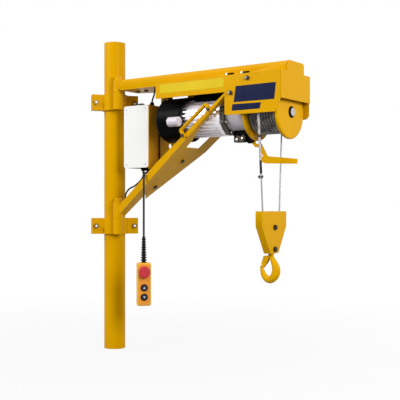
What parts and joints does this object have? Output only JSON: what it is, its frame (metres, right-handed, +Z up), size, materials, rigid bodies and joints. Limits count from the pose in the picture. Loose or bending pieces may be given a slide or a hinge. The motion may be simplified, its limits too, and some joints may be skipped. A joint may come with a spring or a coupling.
{
  "type": "jib crane",
  "caption": "Electric wire rope hoist on a swinging bracket jib clamped to a round mast, with hook block, drum, motor, control box and hanging push-button pendant.",
  "frame": {"origin": "middle of the mast's foot", "axes": "+X along the jib from the mast to the hook, -Y the control side, +Z up"},
  "size_m": [0.8123, 0.2199, 1.1],
  "materials": {
    "yellow_paint": "satin yellow enamel",
    "zinc_steel": "zinc plated",
    "wire_rope": "greased wire rope",
    "white_shell": "smooth moulded shell",
    "silver_motor": "silver-white enamel on a ribbed casting",
    "grey_gearbox": "cast, light grey",
    "dark_flange": "dark casting",
    "pale_capacitor": "pale grey can",
    "black_plastic": "black moulding",
    "black_rubber": "black cable sheath",
    "orange_plastic": "orange-yellow moulding",
    "red_plastic": "red moulding"
  },
  "bodies": {
    "mast": {"mast": "yellow_paint", "clamp_fronts": "yellow_paint", "clamp_backs": "yellow_paint", "clamp_bolts": "zinc_steel", "hinge_pins": "yellow_paint"},
    "jib": {"hinge_knuckles": "yellow_paint", "jib_beam": "yellow_paint", "roof_plate": "yellow_paint", "near_side_plate": "yellow_paint", "far_side_plate": "yellow_paint", "front_cover": "yellow_paint", "cradle": "yellow_paint", "carry_handle": "yellow_paint", "frame_bolts": "zinc_steel", "motor_plate": "yellow_paint", "control_box": "white_shell", "cable_glands": "black_plastic", "fan_cowl": "black_plastic", "motor_body": "silver_motor", "motor_flange": "dark_flange", "gearbox": "grey_gearbox", "terminal_box": "black_plastic", "cable_harness": "black_rubber", "capacitor": "pale_capacitor", "limit_switch": "zinc_steel", "dead_end_rope": "wire_rope", "rope_stop": "zinc_steel", "near_fall": "wire_rope", "far_fall": "wire_rope", "pendant_cord": "black_rubber", "pendant_boot": "black_rubber", "pendant_housing": "orange_plastic"},
    "stop_button": {"stop_button": "red_plastic"},
    "up_button": {"up_button": "black_plastic"},
    "down_button": {"down_button": "black_plastic"},
    "limit_lever": {"limit_lever": "yellow_paint"},
    "drum": {"drum_spool": "yellow_paint", "drum_shaft": "zinc_steel", "rope_pack": "wire_rope"},
    "hook_block": {"block_shell": "yellow_paint", "block_sheave": "zinc_steel", "block_pins": "zinc_steel", "rope_bight": "wire_rope"},
    "hook": {"hook": "yellow_paint"},
    "safety_latch": {"safety_latch": "yellow_paint"}
  },
  "joints": [
    {"name": "jib_swing", "type": "hinge", "parent": "mast", "child": "jib", "pos_m": [0.04712, -0.03551, 0.936], "axis": [0, 0, 1], "range_deg": [-125, 7]},
    {"name": "drum_spin", "type": "hinge", "parent": "jib", "child": "drum", "pos_m": [0.66, 0, 0.803], "axis": [1, 0, 0], "range_deg": [-410, 144]},
    {"name": "lift", "type": "slide", "parent": "jib", "child": "hook_block", "axis": [0, 0, 1], "range_m": [-0.24, 0.084], "deforming": ["near_fall", "far_fall"]},
    {"name": "hook_swivel", "type": "hinge", "parent": "hook_block", "child": "hook", "pos_m": [0.6565, 0, 0.36], "axis": [0, 0, 1], "continuous": true},
    {"name": "latch_hinge", "type": "hinge", "parent": "hook", "child": "safety_latch", "pos_m": [0.6455, 0, 0.349], "axis": [0, -1, 0], "range_deg": [0, 22], "stiffness_Nm_per_rad": 0.05, "springref_deg": -20.05},
    {"name": "limit_hinge", "type": "hinge", "parent": "jib", "child": "limit_lever", "pos_m": [0.586, 0, 0.722], "axis": [0, -1, 0], "range_deg": [0, 6], "stiffness_Nm_per_rad": 4, "springref_deg": -5.73},
    {"name": "stop_press", "type": "slide", "parent": "jib", "child": "stop_button", "axis": [-0.6947, 0.7193, 0], "range_m": [0, 0.003], "stiffness_N_per_m": 400, "springref_m": -0.002},
    {"name": "up_press", "type": "slide", "parent": "jib", "child": "up_button", "axis": [-0.6947, 0.7193, 0], "range_m": [0, 0.003], "stiffness_N_per_m": 250, "springref_m": -0.002},
    {"name": "down_press", "type": "slide", "parent": "jib", "child": "down_button", "axis": [-0.6947, 0.7193, 0], "range_m": [0, 0.003], "stiffness_N_per_m": 250, "springref_m": -0.002}
  ],
  "couplings": [
    {"joint": "lift", "follows": "drum_spin", "m_per_rad": 0.033}
  ]
}
